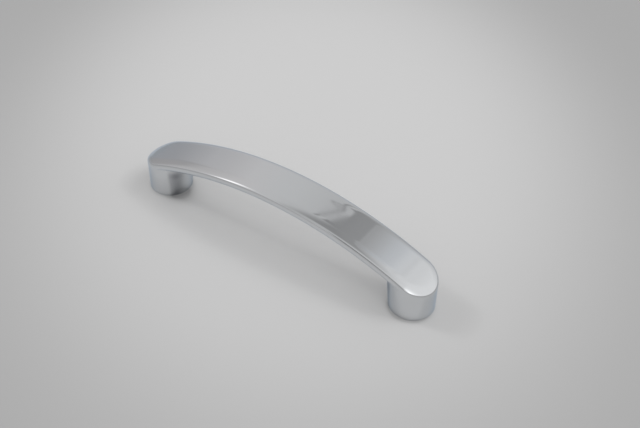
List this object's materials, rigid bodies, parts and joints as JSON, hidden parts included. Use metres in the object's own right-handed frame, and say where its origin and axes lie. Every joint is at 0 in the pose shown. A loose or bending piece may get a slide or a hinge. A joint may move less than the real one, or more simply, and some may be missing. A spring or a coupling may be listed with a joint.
{
  "type": "bridge pull handle",
  "caption": "Arched bridge pull handle with a polished flat-topped bar on round feet, screw-fixed from behind the door or drawer front.",
  "frame": {"origin": "midway between the screw holes, on the surface that the two feet stand on", "axes": "+X along the handle through both screw holes, +Y across the bar, +Z away from the door front"},
  "size_m": [0.1104, 0.0144, 0.024],
  "materials": {
    "chrome_plate": "polished"
  },
  "bodies": {
    "root": {"handle": "chrome_plate"}
  },
  "joints": []
}
